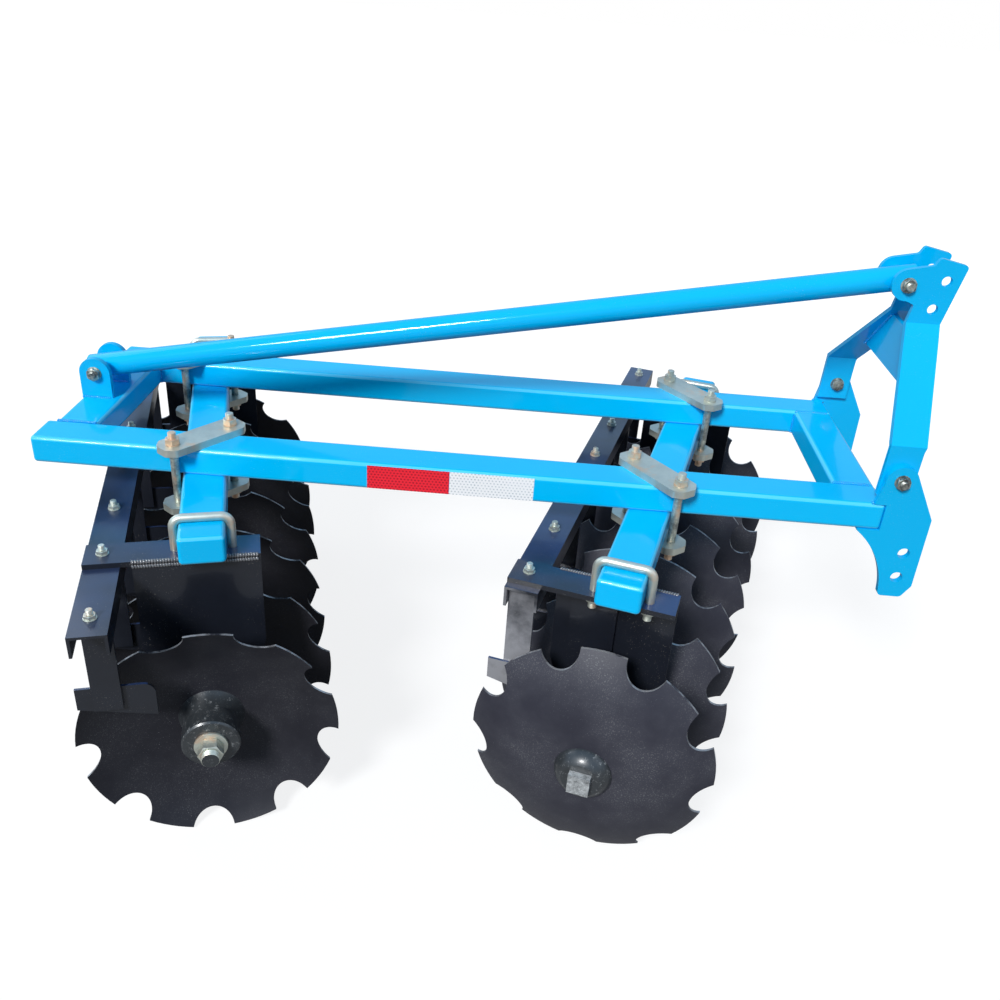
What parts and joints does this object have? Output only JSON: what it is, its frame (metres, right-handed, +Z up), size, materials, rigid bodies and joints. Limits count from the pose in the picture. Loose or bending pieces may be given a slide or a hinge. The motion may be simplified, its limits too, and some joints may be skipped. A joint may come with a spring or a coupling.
{
  "type": "disc harrow",
  "caption": "Mounted offset disc harrow: two skewed gangs of notched dished discs under a flat tube frame with a three-point hitch mast and scrapers.",
  "frame": {"origin": "on the ground under the middle of the machine's box", "axes": "+X forward, towards the tractor; +Y the machine's left; +Z up"},
  "size_m": [1.8254, 1.3518, 1.0751],
  "materials": {
    "blue_paint": "gloss",
    "zinc": "satin",
    "disc_paint": "satin",
    "black_paint": "satin"
  },
  "bodies": {
    "frame": {"beam_caps": "blue_paint", "bearing_hangers": "black_paint", "bearing_housings": "black_paint", "brace_bolts": "zinc", "brace_clevis": "blue_paint", "brace_tube": "blue_paint", "clamp_plates_lower": "zinc", "clamp_plates_upper": "zinc", "clamp_rods": "zinc", "cross_tube_front": "blue_paint", "cross_tube_rear": "blue_paint", "gang_beam_front": "blue_paint", "gang_beam_rear": "blue_paint", "hanger_bars": "black_paint", "hitch_plate_left": "blue_paint", "hitch_plate_right": "blue_paint", "mast_cross_plate": "blue_paint", "mast_strap_left": "blue_paint", "mast_strap_right": "blue_paint", "rail_caps": "blue_paint", "rail_left": "blue_paint", "rail_right": "blue_paint", "scraper_beam_front": "black_paint", "scraper_beam_rear": "black_paint", "scrapers_front": "black_paint", "scrapers_rear": "black_paint", "strap_bolts": "zinc", "u_bolts": "zinc"},
    "front_gang": {"front_axle": "black_paint", "front_axle_nut": "zinc", "front_discs": "disc_paint", "front_end_washers": "black_paint", "front_spools": "black_paint"},
    "rear_gang": {"rear_axle": "black_paint", "rear_axle_nut": "zinc", "rear_discs": "disc_paint", "rear_end_washers": "black_paint", "rear_spools": "black_paint"}
  },
  "joints": [
    {"name": "front_gang_spin", "type": "hinge", "parent": "frame", "child": "front_gang", "pos_m": [0.4226, -0.00594, 0.23], "axis": [0.2588, 0.9659, 0], "continuous": true},
    {"name": "rear_gang_spin", "type": "hinge", "parent": "frame", "child": "rear_gang", "pos_m": [-0.55537, 0.00608, 0.23], "axis": [-0.2756, 0.9613, 0], "continuous": true}
  ]
}
